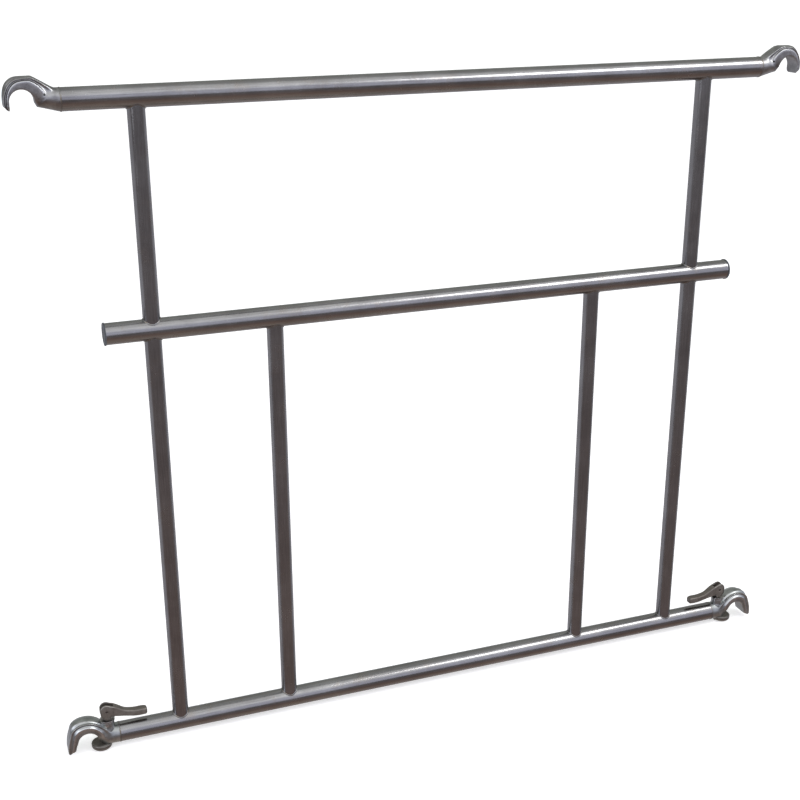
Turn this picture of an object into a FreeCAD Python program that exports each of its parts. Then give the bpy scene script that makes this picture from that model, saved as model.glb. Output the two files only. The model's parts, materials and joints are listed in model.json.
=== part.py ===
import FreeCAD, Part
import math
import os

# Scaffold frame section: three level rails joined by six posts, with an open claw at each rail end
# that hooks over a standard scaffold tube. Each lower claw also has a cam lever, a bolt and an
# eccentric disc that closes the claw from below. Millimetres, +X along the rails, +Z up. The origin is
# under the middle of the frame, level with the undersides of the two locking discs.

# ---- Tubes ----
RAIL_OD = 48.3             # standard scaffold tube
RAIL_WALL = 3.2
POST_OD = 38.0
POST_WALL = 2.6
MID_LEVEL = 1000.0         # middle rail's axis above the bottom rail's
TOP_LEVEL = 1500.0         # top rail's axis above the bottom rail's
OUTER_POST_X = 677.0
INNER_POST_X = 401.5
MID_RAIL_LENGTH = 1558.0
POST_WELD_LEG = 2.4

# ---- End caps of the middle rail ----
CAP_FLANGE = 4.0
CAP_OVERHANG = 1.5         # flange radius beyond the tube's
CAP_PLUG = 18.0
CAP_ROUND = 1.2

# ---- Claws: sizes shared by all four ----
CLAW_SPAN = 1805.0         # between the throat centres of two opposite claws
HELD_TUBE_OD = 48.3
THROAT_CLEARANCE = 0.15    # radial, over the held tube
SHANK_LENGTH = 74.0        # from the throat centre to the rail's end
SPIGOT_LENGTH = 30.0
SPIGOT_CLEARANCE = 0.3
THROAT_LIP = 3.0           # straight wall below the throat's centre, on the shank side
LIP_CHAMFER = 8.5          # height of the sloping corner under that wall
LIP_CHAMFER_REACH = 5.0
CROWN_ROUND = 4.5
WELD_RING_LENGTH = 3.6
WELD_RING_PROUD = 0.9

# ---- Upper claws ----
UPPER_HALF_WIDTH = 20.0
UPPER_CROWN_HALF_WIDTH = 16.5
UPPER_LEG = 12.5           # thickness of the hanging leg
UPPER_TOP = 49.0           # flat top above the throat centre
UPPER_CORNER = 29.0        # radius of the outer shoulder
UPPER_KINK = 22.7          # where the flat top turns into the slope, on the shank side of the centre
UPPER_TIP = 17.5           # end of the leg below the throat centre
UPPER_SHANK_RISE = 11.7    # how far the underside climbs from the rail to the throat
SLOPE_DEG = 30.8
PIN_HOLE_R = 2.4
PIN_HOLE_X = 44.5          # from the throat centre towards the rail
PIN_HOLE_Z = 13.0

# ---- Lower claws ----
LOWER_HALF_WIDTH = 22.5
LOWER_CROWN_HALF_WIDTH = 18.0
LOWER_LEG = 20.0
LOWER_TOP = 52.0
LOWER_CORNER = 36.0
LOWER_KINK = 14.0
LOWER_TIP = 25.0
LOWER_LEAN = 5.2           # the leg's outer edge leans out by this much at its tip
MOUTH_FLARE = 5.0          # and its inner face by this much
RIDGE_RADIUS = 36.3        # edge of the thick inner band of each claw
RIDGE_SHIFT = 8.0          # centre of that edge, towards the rail
RIDGE_LIFT = 4.0

# ---- Clamp on each lower claw ----
BOLT_INSET = 49.0          # bolt axis from the throat centre, towards the rail
BOLT_R = 5.0
BOLT_CLEARANCE = 0.4
SEAT_HEIGHT = 37.5         # top of the claw's boss above the rail axis
BOSS_R = 16.5
SPOTFACE_R = 18.7
FACE_GAP = 0.2             # between flat faces that turn on each other
WASHER_R = 18.0
WASHER_THICKNESS = 3.7
WASHER_RIM = 1.8
WASHER_RIM_HEIGHT = 0.9
DISC_R = 24.5
DISC_OFFSET = 17.5         # eccentricity of the disc about the bolt
DISC_THICKNESS = 15.5
DISC_TOP_ROUND = 6.5
DISC_BOTTOM_ROUND = 7.5
DISC_DROP = 17.0           # disc's top face below the rail axis, clamp closed
DISC_CLEARANCE = 0.5       # all round the disc's sweep under the claw
SWING_DEG = 90.0
DISC_PIN_R = 2.0
DISC_PIN_RECESS = 1.5

# ---- Cam lever ----
CAM_CLOSED = 23.9          # pivot to the washer's face when the lever is down
CAM_OPEN = 14.9            # and when it stands up
CAM_STEPS = 9
LEVER_HALF_WIDTH = 10.5
EYE_R = 9.0
EYE_HALF_WIDTH = BOLT_R    # the eye is as wide as the bolt is thick
SLOT_CLEARANCE = 0.3
SLOT_DEPTH = 17.0          # how far the fork's slot reaches past the pivot, towards the handle
PIVOT_R = 3.0
PIVOT_CLEARANCE = 0.08
PIVOT_RECESS = 1.0
FOOT_INNER = 9.0           # the foot's extent towards the handle
NOSE_TOP = 8.0             # top of the cam's upright face above the pivot
CREST_OUT = 4.0            # highest point of the cheeks, from the pivot towards the nose
CREST_TOP = 17.4
HEAD_BACK = 20.0           # where the head turns into the handle
HANDLE_REACH = 96.0        # pivot to the end of the handle
HANDLE_END_HEIGHT = -19.5
# The handle's upper and lower edges: share of the way from HEAD_BACK to HANDLE_REACH, height.
HANDLE_TOP = [(0.0, 9.6), (0.21, -0.5), (0.45, -8.0), (0.63, -9.6), (0.82, -9.6), (0.96, -13.5)]
HANDLE_UNDER = [(0.96, -26.5), (0.66, -25.0), (0.37, -20.8), (0.0, -15.6)]

# ---- Places worked out from the sizes ----
RAIL_R = RAIL_OD / 2
POST_R = POST_OD / 2
THROAT_R = HELD_TUBE_OD / 2 + THROAT_CLEARANCE
CLAW_X = CLAW_SPAN / 2
RAIL_END_X = CLAW_X - SHANK_LENGTH
BOTTOM_Z = DISC_DROP + DISC_THICKNESS
MID_Z = BOTTOM_Z + MID_LEVEL
TOP_Z = BOTTOM_Z + TOP_LEVEL
BOLT_X = CLAW_X - BOLT_INSET
WASHER_TOP = SEAT_HEIGHT + FACE_GAP + WASHER_THICKNESS
PIVOT_HEIGHT = WASHER_TOP + FACE_GAP + CAM_CLOSED

X_AXIS = FreeCAD.Vector(1, 0, 0)
Y_AXIS = FreeCAD.Vector(0, 1, 0)
Z_AXIS = FreeCAD.Vector(0, 0, 1)
ORIGIN = FreeCAD.Vector(0, 0, 0)
THROUGH = 120.0            # longer than any cut has to be


def along_x(radius, start, end, z):
    """A cylinder along X between two x places, at height z."""
    return Part.makeCylinder(radius, end - start, FreeCAD.Vector(start, 0, z), X_AXIS)


def along_y(radius, half_width, x, z):
    """A cylinder along Y, centred on y = 0."""
    return Part.makeCylinder(radius, 2 * half_width, FreeCAD.Vector(x, -half_width, z), Y_AXIS)


def along_z(radius, start, end, x, y=0.0):
    """A cylinder along Z between two heights."""
    return Part.makeCylinder(radius, end - start, FreeCAD.Vector(x, y, start), Z_AXIS)


def box(x_range, y_range, z_range):
    """A box between two places on each axis."""
    corner = FreeCAD.Vector(x_range[0], y_range[0], z_range[0])
    return Part.makeBox(x_range[1] - x_range[0], y_range[1] - y_range[0], z_range[1] - z_range[0], corner)


def line(start, end):
    """A straight edge between two (x, z) points."""
    return Part.makeLine(FreeCAD.Vector(start[0], 0, start[1]), FreeCAD.Vector(end[0], 0, end[1]))


def arc(start, middle, end):
    """A circular edge through three (x, z) points."""
    points = [FreeCAD.Vector(x, 0, z) for x, z in (start, middle, end)]
    return Part.Arc(*points).toShape()


def smooth(points):
    """A spline edge through a list of (x, z) points."""
    curve = Part.BSplineCurve()
    curve.interpolate([FreeCAD.Vector(x, 0, z) for x, z in points])
    return curve.toShape()


def plate(edges, half_width):
    """A flat plate in the XZ plane with the given outline, centred on y = 0."""
    face = Part.Face(Part.Wire(edges))
    face.translate(FreeCAD.Vector(0, -half_width, 0))
    return face.extrude(FreeCAD.Vector(0, 2 * half_width, 0))


def polygon(points):
    """Straight edges round a closed (x, z) outline."""
    return [line(a, b) for a, b in zip(points, points[1:] + points[:1])]


def other_side(shape):
    """The same piece at the -X end."""
    return shape.mirror(ORIGIN, X_AXIS)


def rim_edges(shape, half_width):
    """The edges of a plate that lie in its two flat faces."""
    def in_face(edge):
        return all(abs(abs(v.Y) - half_width) < 1e-6 for v in edge.Vertexes)
    return [e for e in shape.Edges if in_face(e)]


# ---- Rails and posts ----
def tube_along_x(start, end, z):
    """A rail tube between two x places."""
    return along_x(RAIL_R, start, end, z).cut(along_x(RAIL_R - RAIL_WALL, start, end, z))


def post(x, low_z, high_z):
    """A post tube between two rails, its ends coped to sit on them."""
    tube = along_z(POST_R, low_z, high_z, x).cut(along_z(POST_R - POST_WALL, low_z, high_z, x))
    for z in (low_z, high_z):
        tube = tube.cut(along_x(RAIL_R, x - RAIL_OD, x + RAIL_OD, z))
    return tube


def post_weld(x, rail_z, up):
    """The fillet weld round one post where it meets a rail, above the rail or below it."""
    reach = RAIL_OD if up else -RAIL_OD
    low, high = sorted((rail_z, rail_z + reach))
    bead = along_z(POST_R + POST_WELD_LEG, low, high, x)
    bead = bead.common(along_x(RAIL_R + POST_WELD_LEG, x - RAIL_OD, x + RAIL_OD, rail_z))
    bead = bead.cut(along_x(RAIL_R, x - RAIL_OD, x + RAIL_OD, rail_z))
    return bead.cut(along_z(POST_R, low, high, x))


def end_cap():
    """The plug that closes the middle rail's +X end."""
    end = MID_RAIL_LENGTH / 2
    flange = along_x(RAIL_R + CAP_OVERHANG, end, end + CAP_FLANGE, MID_Z)
    outer_rim = [e for e in flange.Edges if abs(e.BoundBox.XMin - e.BoundBox.XMax) < 1e-6
                 and e.BoundBox.XMin > end + CAP_FLANGE / 2]
    flange = flange.makeFillet(CAP_ROUND, outer_rim)
    plug_r = RAIL_R - RAIL_WALL
    plug = along_x(plug_r, end - CAP_PLUG, end, MID_Z)
    bore = along_x(plug_r - POST_WALL, end - CAP_PLUG, end, MID_Z)
    return flange.fuse(plug.cut(bore)).removeSplitter()


# ---- Claws ----
def shank(half_width, rail_z, rise):
    """The root of a claw: round where it meets the rail, drawn in at the sides and underneath towards
    the throat, with the spigot that enters the rail."""
    body = along_x(RAIL_R, RAIL_END_X, CLAW_X, rail_z)
    for sign in (-1, 1):
        outline = [(RAIL_END_X, sign * RAIL_R), (CLAW_X - THROAT_R, sign * half_width),
                   (CLAW_X, sign * half_width), (CLAW_X, sign * RAIL_OD), (RAIL_END_X, sign * RAIL_OD)]
        points = [FreeCAD.Vector(x, y, rail_z - RAIL_OD) for x, y in outline]
        wedge = Part.Face(Part.makePolygon(points + points[:1])).extrude(FreeCAD.Vector(0, 0, 2 * RAIL_OD))
        body = body.cut(wedge)
    if rise > 0:
        under = [(RAIL_END_X, rail_z - RAIL_R), (CLAW_X - THROAT_R, rail_z - RAIL_R + rise),
                 (CLAW_X, rail_z - RAIL_R + rise), (CLAW_X, rail_z - RAIL_OD), (RAIL_END_X, rail_z - RAIL_OD)]
        body = body.cut(plate(polygon(under), RAIL_OD))
    spigot = along_x(RAIL_R - RAIL_WALL - SPIGOT_CLEARANCE, RAIL_END_X - SPIGOT_LENGTH, RAIL_END_X, rail_z)
    return body.fuse(spigot)


def throat_cut(rail_z, flare, tip):
    """What is taken out of a claw: the tube's half circle, the mouth below it and the sloping corner."""
    wide = RAIL_OD
    circle = along_y(THROAT_R, wide, CLAW_X, rail_z)
    floor = rail_z - tip - RAIL_R
    mouth_out = THROAT_R + flare * (rail_z - floor) / tip
    mouth = polygon([(CLAW_X - THROAT_R, rail_z), (CLAW_X + THROAT_R, rail_z),
                     (CLAW_X + mouth_out, floor), (CLAW_X - THROAT_R, floor)])
    lip_z = rail_z - THROAT_LIP
    slope = LIP_CHAMFER_REACH / LIP_CHAMFER
    corner = polygon([(CLAW_X - THROAT_R, lip_z), (CLAW_X, lip_z), (CLAW_X, floor),
                      (CLAW_X - THROAT_R - slope * (lip_z - floor), floor)])
    return circle.fuse(plate(mouth, wide)).fuse(plate(corner, wide))


def crown_outline(rail_z, leg, lean, top, corner, kink, tip, slope_end, slope_low):
    """Outside edge of a claw: leg, shoulder, flat top, and slope down to `slope_low` above the axis."""
    outer = CLAW_X + THROAT_R + leg
    tip_outer = outer + lean
    shoulder_x = outer - corner
    shoulder_z = rail_z + top - corner
    mid = corner * math.sqrt(0.5)
    tip_z = rail_z - tip
    kink_point = (CLAW_X - kink, rail_z + top)
    slope_point = (slope_end, rail_z + slope_low)
    return [line((CLAW_X, rail_z), (CLAW_X, tip_z)),
            line((CLAW_X, tip_z), (tip_outer - leg / 3, tip_z)),
            line((tip_outer - leg / 3, tip_z), (tip_outer, tip_z + leg / 6)),
            line((tip_outer, tip_z + leg / 6), (outer, shoulder_z)),
            arc((outer, shoulder_z), (shoulder_x + mid, shoulder_z + mid), (shoulder_x, rail_z + top)),
            line((shoulder_x, rail_z + top), kink_point),
            line(kink_point, slope_point),
            line(slope_point, (slope_end, rail_z)),
            line((slope_end, rail_z), (CLAW_X, rail_z))]


def inner_band(rail_z, half_width, leg, tip):
    """The thick inner band of a claw, from the tip of its leg to the shank."""
    ridge = along_y(RIDGE_RADIUS, half_width, CLAW_X - RIDGE_SHIFT, rail_z + RIDGE_LIFT)
    leg_band = box((CLAW_X, CLAW_X + THROAT_R + leg / 2), (-half_width, half_width),
                   (rail_z - tip + leg / 4, rail_z + RIDGE_LIFT))
    below = box((CLAW_X - RAIL_OD, CLAW_X + RAIL_OD), (-RAIL_OD, RAIL_OD), (rail_z - RAIL_OD, rail_z))
    return ridge.cut(below).fuse(leg_band)


def upper_claw():
    """An upper claw at the +X end."""
    run = CLAW_X - UPPER_KINK - RAIL_END_X
    slope_low = UPPER_TOP - run * math.tan(math.radians(SLOPE_DEG))
    outline = crown_outline(TOP_Z, UPPER_LEG, 0.0, UPPER_TOP, UPPER_CORNER, UPPER_KINK, UPPER_TIP,
                            RAIL_END_X, slope_low)
    crown = plate(outline, UPPER_CROWN_HALF_WIDTH)
    crown = crown.makeFillet(CROWN_ROUND, rim_edges(crown, UPPER_CROWN_HALF_WIDTH))
    claw = shank(UPPER_HALF_WIDTH, TOP_Z, UPPER_SHANK_RISE).fuse(crown)
    claw = claw.fuse(inner_band(TOP_Z, UPPER_HALF_WIDTH, UPPER_LEG, UPPER_TIP))
    claw = claw.cut(throat_cut(TOP_Z, 0.0, UPPER_TIP))
    return claw.cut(along_y(PIN_HOLE_R, RAIL_OD, CLAW_X - PIN_HOLE_X, TOP_Z + PIN_HOLE_Z))


def disc_sweep():
    """The room that the locking disc turns in: the disc's circle at both ends of its swing, and the
    sector between them."""
    reach = DISC_R + DISC_CLEARANCE
    low = BOTTOM_Z - THROUGH
    high = BOTTOM_Z - DISC_DROP + DISC_CLEARANCE
    swing = math.radians(SWING_DEG)
    closed = along_z(reach, low, high, BOLT_X + DISC_OFFSET)
    open_x = BOLT_X + DISC_OFFSET * math.cos(swing)
    opened = along_z(reach, low, high, open_x, DISC_OFFSET * math.sin(swing))
    sector = Part.makeCylinder(DISC_OFFSET + reach, high - low, FreeCAD.Vector(BOLT_X, 0, low), Z_AXIS,
                               SWING_DEG)
    return closed.fuse(opened).fuse(sector)


def lower_claw():
    """A lower claw at the +X end, with its boss, bolt hole and the disc's recess."""
    slope_end = BOLT_X - BOSS_R
    outline = crown_outline(BOTTOM_Z, LOWER_LEG, LOWER_LEAN, LOWER_TOP, LOWER_CORNER, LOWER_KINK, LOWER_TIP,
                            slope_end, RAIL_R / 2)
    crown = plate(outline, LOWER_CROWN_HALF_WIDTH)
    crown = crown.makeFillet(CROWN_ROUND, rim_edges(crown, LOWER_CROWN_HALF_WIDTH))
    claw = shank(LOWER_HALF_WIDTH, BOTTOM_Z, 0.0).fuse(crown)
    claw = claw.fuse(inner_band(BOTTOM_Z, LOWER_HALF_WIDTH, LOWER_LEG, LOWER_TIP))
    claw = claw.fuse(along_z(BOSS_R, BOTTOM_Z, BOTTOM_Z + SEAT_HEIGHT, BOLT_X))
    claw = claw.cut(along_z(SPOTFACE_R, BOTTOM_Z + SEAT_HEIGHT, BOTTOM_Z + THROUGH, BOLT_X))
    claw = claw.cut(throat_cut(BOTTOM_Z, MOUTH_FLARE, LOWER_TIP))
    claw = claw.cut(disc_sweep())
    return claw.cut(along_z(BOLT_R + BOLT_CLEARANCE, BOTTOM_Z - THROUGH, BOTTOM_Z + THROUGH, BOLT_X))


def claw_weld(rail_z):
    """The weld ring where a rail ends against its claw."""
    start = RAIL_END_X - WELD_RING_LENGTH
    end = RAIL_END_X + FACE_GAP
    ring = along_x(RAIL_R + WELD_RING_PROUD, start, end, rail_z)
    rims = [e for e in ring.Edges if abs(e.BoundBox.XMin - e.BoundBox.XMax) < 1e-6]
    ring = ring.makeChamfer(WELD_RING_PROUD / 2, rims)
    return ring.cut(along_x(RAIL_R, start - 1, end + 1, rail_z))


# ---- Clamp ----
def thrust_washer():
    """The dished washer between the claw's boss and the lever's cam."""
    low = BOTTOM_Z + SEAT_HEIGHT + FACE_GAP
    floor = BOTTOM_Z + WASHER_TOP
    washer = along_z(WASHER_R, low, floor + WASHER_RIM_HEIGHT, BOLT_X)
    washer = washer.cut(along_z(WASHER_R - WASHER_RIM, floor, floor + THROUGH, BOLT_X))
    return washer.cut(along_z(BOLT_R + BOLT_CLEARANCE, low - 1, floor + 1, BOLT_X))


def clamp_bolt():
    """The eye bolt that carries the lever above and the disc below."""
    pivot_z = BOTTOM_Z + PIVOT_HEIGHT
    low = BOTTOM_Z - DISC_DROP - DISC_THICKNESS
    bolt = along_z(BOLT_R, low, pivot_z, BOLT_X).fuse(along_y(EYE_R, EYE_HALF_WIDTH, BOLT_X, pivot_z))
    bolt = bolt.cut(along_y(PIVOT_R + PIVOT_CLEARANCE, RAIL_OD, BOLT_X, pivot_z))
    return bolt.cut(disc_pin())


def locking_disc():
    """The eccentric disc on the bolt's lower end."""
    low = BOTTOM_Z - DISC_DROP - DISC_THICKNESS
    high = BOTTOM_Z - DISC_DROP
    disc = along_z(DISC_R, low, high, BOLT_X + DISC_OFFSET)
    disc = disc.makeFillet(DISC_TOP_ROUND, [e for e in disc.Edges if e.BoundBox.ZMin > high - 1e-3])
    disc = disc.makeFillet(DISC_BOTTOM_ROUND, [e for e in disc.Edges if e.BoundBox.ZMax < low + 1e-3])
    disc = disc.cut(along_z(BOLT_R, low - 1, high + 1, BOLT_X))
    hole = along_y(DISC_PIN_R, DISC_R, BOLT_X, (low + high) / 2)
    return disc.cut(hole)


def disc_pin():
    """The cross pin that keeps the disc on the bolt, sunk a little below the disc's rim."""
    half_chord = math.sqrt(DISC_R ** 2 - DISC_OFFSET ** 2)
    return along_y(DISC_PIN_R, half_chord - DISC_PIN_RECESS, BOLT_X,
                   BOTTOM_Z - DISC_DROP - DISC_THICKNESS / 2)


def cam_points():
    """The cam's edge about the pivot, as (outward, up) points. The distance from the pivot to the washer
    falls evenly with the lever's angle: point = h * n + h' * t, where n turns from straight down to
    outward, t is a quarter turn ahead of n, and h falls from CAM_CLOSED to CAM_OPEN."""
    rate = (CAM_CLOSED - CAM_OPEN) / math.radians(90)
    points = []
    for step in range(CAM_STEPS):
        angle = math.radians(90) * step / (CAM_STEPS - 1)
        h = CAM_CLOSED - rate * angle
        points.append((h * math.sin(angle) - rate * math.cos(angle),
                       -h * math.cos(angle) - rate * math.sin(angle)))
    return points


def clamp_lever():
    """The cam lever, closed: a forked head on the bolt's eye, and a handle lying along the rail."""
    pivot_z = BOTTOM_Z + PIVOT_HEIGHT

    def place(points):
        return [(BOLT_X + out, pivot_z + up) for out, up in points]

    def along_handle(points):
        return place([(-HEAD_BACK - share * (HANDLE_REACH - HEAD_BACK), up) for share, up in points])

    cam = place(cam_points())
    nose, crest = place([(CAM_OPEN, NOSE_TOP), (CREST_OUT, CREST_TOP)])
    top = along_handle(HANDLE_TOP)
    under = along_handle(HANDLE_UNDER)
    end = along_handle([(1.0, HANDLE_END_HEIGHT)])[0]
    heel = (BOLT_X - FOOT_INNER, under[-1][1])
    foot = (BOLT_X - FOOT_INNER, cam[0][1])
    edges = [smooth(cam),
             line(cam[-1], nose),
             line(nose, crest),
             line(crest, top[0]),
             smooth(top),
             arc(top[-1], end, under[0]),
             smooth(under),
             line(under[-1], heel),
             line(heel, foot),
             line(foot, cam[0])]
    lever = plate(edges, LEVER_HALF_WIDTH)
    slot_half = EYE_HALF_WIDTH + SLOT_CLEARANCE
    slot = box((BOLT_X - SLOT_DEPTH, BOLT_X + THROUGH), (-slot_half, slot_half),
               (pivot_z - THROUGH, pivot_z + THROUGH))
    return lever.cut(slot).cut(along_y(PIVOT_R, RAIL_OD, BOLT_X, pivot_z))


def lever_pin():
    """The pin that joins the lever's fork to the bolt's eye."""
    return along_y(PIVOT_R, LEVER_HALF_WIDTH - PIVOT_RECESS, BOLT_X, BOTTOM_Z + PIVOT_HEIGHT)


def both_ends(name, shape):
    """The piece at +X as NAME_right and its mirror image as NAME_left."""
    return {name + "_right": shape, name + "_left": other_side(shape)}


def welds_on(rail_z, places):
    """All post welds on one rail, as separate solids in one node."""
    return Part.makeCompound([post_weld(x, rail_z, up) for x, up in places])


def build():
    """Every node of the frame, by name."""
    mid_start = -MID_RAIL_LENGTH / 2
    mid_end = MID_RAIL_LENGTH / 2
    cap = end_cap()
    cap_left = cap.mirror(FreeCAD.Vector(), X_AXIS)
    nodes = {
        "bottom_rail": tube_along_x(-RAIL_END_X, RAIL_END_X, BOTTOM_Z),
        "middle_rail": tube_along_x(mid_start, mid_end, MID_Z),
        "top_rail": tube_along_x(-RAIL_END_X, RAIL_END_X, TOP_Z),
        "middle_rail_cap_right": cap,
        "middle_rail_cap_left": cap_left,
    }
    nodes.update(both_ends("upper_post", post(OUTER_POST_X, MID_Z, TOP_Z)))
    nodes.update(both_ends("lower_outer_post", post(OUTER_POST_X, BOTTOM_Z, MID_Z)))
    nodes.update(both_ends("lower_inner_post", post(INNER_POST_X, BOTTOM_Z, MID_Z)))
    outer = (-OUTER_POST_X, OUTER_POST_X)
    inner = (-INNER_POST_X, INNER_POST_X)
    nodes["top_rail_welds"] = welds_on(TOP_Z, [(x, False) for x in outer])
    nodes["middle_rail_welds"] = welds_on(MID_Z, [(x, True) for x in outer] +
                                          [(x, False) for x in outer + inner])
    nodes["bottom_rail_welds"] = welds_on(BOTTOM_Z, [(x, True) for x in outer + inner])
    rings = [claw_weld(TOP_Z), claw_weld(BOTTOM_Z)]
    nodes["claw_welds"] = Part.makeCompound(rings + [other_side(ring) for ring in rings])
    nodes.update(both_ends("upper_claw", upper_claw()))
    nodes.update(both_ends("lower_claw", lower_claw()))
    nodes.update(both_ends("thrust_washer", thrust_washer()))
    nodes.update(both_ends("clamp_bolt", clamp_bolt()))
    nodes.update(both_ends("locking_disc", locking_disc()))
    nodes.update(both_ends("disc_pin", disc_pin()))
    nodes.update(both_ends("clamp_lever", clamp_lever()))
    nodes.update(both_ends("lever_pin", lever_pin()))
    return nodes


os.makedirs("parts", exist_ok=True)
for node, shape in build().items():
    solids = shape.Solids
    if not all(s.isValid() for s in solids):
        raise ValueError(node + " is not a valid solid")
    print(node, len(solids), "solid(s)", round(sum(s.Volume for s in solids) / 1000, 1), "cm3")
    kept = solids[0] if len(solids) == 1 else Part.makeCompound(solids)
    kept.exportStep("parts/" + node + ".step")
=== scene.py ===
"""Looks of a welded scaffold frame: drawn tubes, forged claws, cam clamps, end plugs and weld beads.

Every piece is a surface worked out over a grid, in metres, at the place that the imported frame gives.
"""
import json
import logging
import math
from dataclasses import dataclass
from enum import Enum

import bpy
import numpy as np
from mathutils import Matrix, Vector


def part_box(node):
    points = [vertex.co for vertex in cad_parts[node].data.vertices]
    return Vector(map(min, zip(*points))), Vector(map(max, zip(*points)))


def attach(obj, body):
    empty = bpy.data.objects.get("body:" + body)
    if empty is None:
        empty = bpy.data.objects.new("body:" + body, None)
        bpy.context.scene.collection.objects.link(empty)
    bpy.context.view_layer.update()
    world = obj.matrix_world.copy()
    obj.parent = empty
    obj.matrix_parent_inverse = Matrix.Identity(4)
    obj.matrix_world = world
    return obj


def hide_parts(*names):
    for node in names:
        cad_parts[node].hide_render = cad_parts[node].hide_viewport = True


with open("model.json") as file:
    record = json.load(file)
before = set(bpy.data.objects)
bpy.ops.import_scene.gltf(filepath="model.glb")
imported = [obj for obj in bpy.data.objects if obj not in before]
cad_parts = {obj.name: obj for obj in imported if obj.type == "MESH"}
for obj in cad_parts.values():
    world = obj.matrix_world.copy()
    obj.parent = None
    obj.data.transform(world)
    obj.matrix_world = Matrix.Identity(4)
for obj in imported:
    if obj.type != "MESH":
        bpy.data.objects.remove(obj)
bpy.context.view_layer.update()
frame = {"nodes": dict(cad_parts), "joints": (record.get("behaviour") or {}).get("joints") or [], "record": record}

log = logging.getLogger("scaffold_frame")
MM = 0.001
TURN = 2 * math.pi
ON_AXIS = 0.05  # millimetres from its axis at which a solid turned profile starts and ends
Array = np.ndarray
Knots = tuple[tuple[float, ...], ...]
Colour = tuple[float, float, float, float]


# ---------------------------------------------------------------- places that the frame gives

class Side(Enum):
    """The two ends of the frame, by the sign of their x."""
    LEFT = -1
    RIGHT = 1

    @property
    def label(self) -> str:
        """The ending that this side's nodes and bodies carry."""
        return self.name.lower()


def place_of(entries: list[dict], name: str, side: Side) -> Array:
    """Place of one side's mount or joint, as it would be at the +X end.

    Args:
        entries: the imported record's mounts, or the frame's joints.
        name: the entry's name without its side.
        side: the side meant.

    Returns:
        The place in metres.
    """
    entry = next(e for e in entries if e["name"] == f"{name}_{side.label}")
    return np.array(entry["pos_m"]) * [side.value, 1, 1]


@dataclass(frozen=True)
class Bar:
    """The box of a round CAD node along x or z, in metres.

    Args:
        low, high: the box's corners.
        radius: the node's outer radius.
    """
    low: Array
    high: Array
    radius: float

    @classmethod
    def of(cls, node: str, axis: int) -> "Bar":
        """Reads a node whose axis is 0 for x or 2 for z."""
        low, high = (np.array(corner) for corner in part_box(node))
        return cls(low, high, float(np.delete(high - low, axis).max() / 2))

    @property
    def centre(self) -> Array:
        """Middle of the box."""
        return (self.low + self.high) / 2


# ---------------------------------------------------------------- surfaces

@dataclass
class Shell:
    """A closed surface: its points, its polygons and one crest value per point.

    Args:
        points: (N, 3) places in metres.
        faces: polygons as tuples of point numbers.
        crest: (N,) from 0 in a groove to 1 on a ridge or an edge, where steel is rubbed bright.
    """
    points: Array
    faces: list[tuple[int, ...]]
    crest: Array

    def volume(self) -> float:
        """Signed volume: the sum of a . (b x c) / 6 over each polygon's fan of triangles.

        Returns:
            Cubic metres, negative when the faces point inwards.
        """
        total = 0.0
        for size in {len(f) for f in self.faces}:
            corners = self.points[np.array([f for f in self.faces if len(f) == size])]
            for k in range(1, size - 1):
                cross = np.cross(corners[:, k], corners[:, k + 1])
                total += float(np.einsum("ij,ij->", corners[:, 0], cross)) / 6
        return total

    def outward(self) -> "Shell":
        """The same surface with every face turned outwards."""
        faces = self.faces if self.volume() >= 0 else [f[::-1] for f in self.faces]
        return Shell(self.points, faces, self.crest)

    def on_side(self, side: Side) -> "Shell":
        """The surface as it is at the +X end, or its mirror image for the other end."""
        return Shell(self.points * [side.value, 1, 1], self.faces, self.crest).outward()

    def moved(self, offset: Array) -> "Shell":
        """The surface shifted by an offset in metres."""
        return Shell(self.points + offset, self.faces, self.crest)


def grid_shell(points: Array, crest: Array | None = None, closed_rows: bool = False) -> Shell:
    """Joins a grid of points into a closed shell: each row is a loop, and loop follows loop.

    Args:
        points: (rows, columns, 3); the columns of a row form a closed loop.
        crest: (rows, columns) values, or None for nothing rubbed bright.
        closed_rows: the last row joins the first; otherwise both end loops are capped.

    Returns:
        The shell, facing outwards.
    """
    rows, columns, _ = points.shape
    number = np.arange(rows * columns).reshape(rows, columns)
    across = np.roll(number, -1, axis=1)
    last = rows if closed_rows else rows - 1
    upper, upper_across = np.roll(number, -1, axis=0), np.roll(across, -1, axis=0)
    quads = np.stack([number, across, upper_across, upper], axis=-1)[:last].reshape(-1, 4)
    faces = [tuple(q) for q in quads.tolist()]
    if not closed_rows:
        faces.append(tuple(number[0, ::-1].tolist()))
        faces.append(tuple(number[-1].tolist()))
    worn = np.zeros(rows * columns) if crest is None else np.asarray(crest, float).ravel()
    return Shell(points.reshape(-1, 3), faces, worn).outward()


def joined(shells: list[Shell]) -> Shell:
    """Several shells as one, each keeping its own closed surface.

    Args:
        shells: what is joined.

    Returns:
        One shell that holds them all.
    """
    faces, start = [], 0
    for shell in shells:
        faces += [tuple(i + start for i in f) for f in shell.faces]
        start += len(shell.points)
    return Shell(np.concatenate([s.points for s in shells]), faces,
                 np.concatenate([s.crest for s in shells]))


def make_object(name: str, shell: Shell, sharp_deg: float = 40.0) -> bpy.types.Object:
    """Puts a shell into a new mesh object at the origin.

    Args:
        name: the object's name.
        shell: its surface.
        sharp_deg: edges over this angle stay sharp; the rest is smooth.

    Returns:
        The object.
    """
    mesh = bpy.data.meshes.new(name)
    mesh.from_pydata(shell.points.tolist(), [], shell.faces)
    worn = mesh.attributes.new("crest", "FLOAT", "POINT")
    worn.data.foreach_set("value", shell.crest.astype(np.float32))
    mesh.shade_smooth()
    mesh.set_sharp_from_angle(angle=math.radians(sharp_deg))
    mesh.update()
    made = bpy.data.objects.new(name, mesh)
    bpy.context.scene.collection.objects.link(made)
    return made


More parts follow.
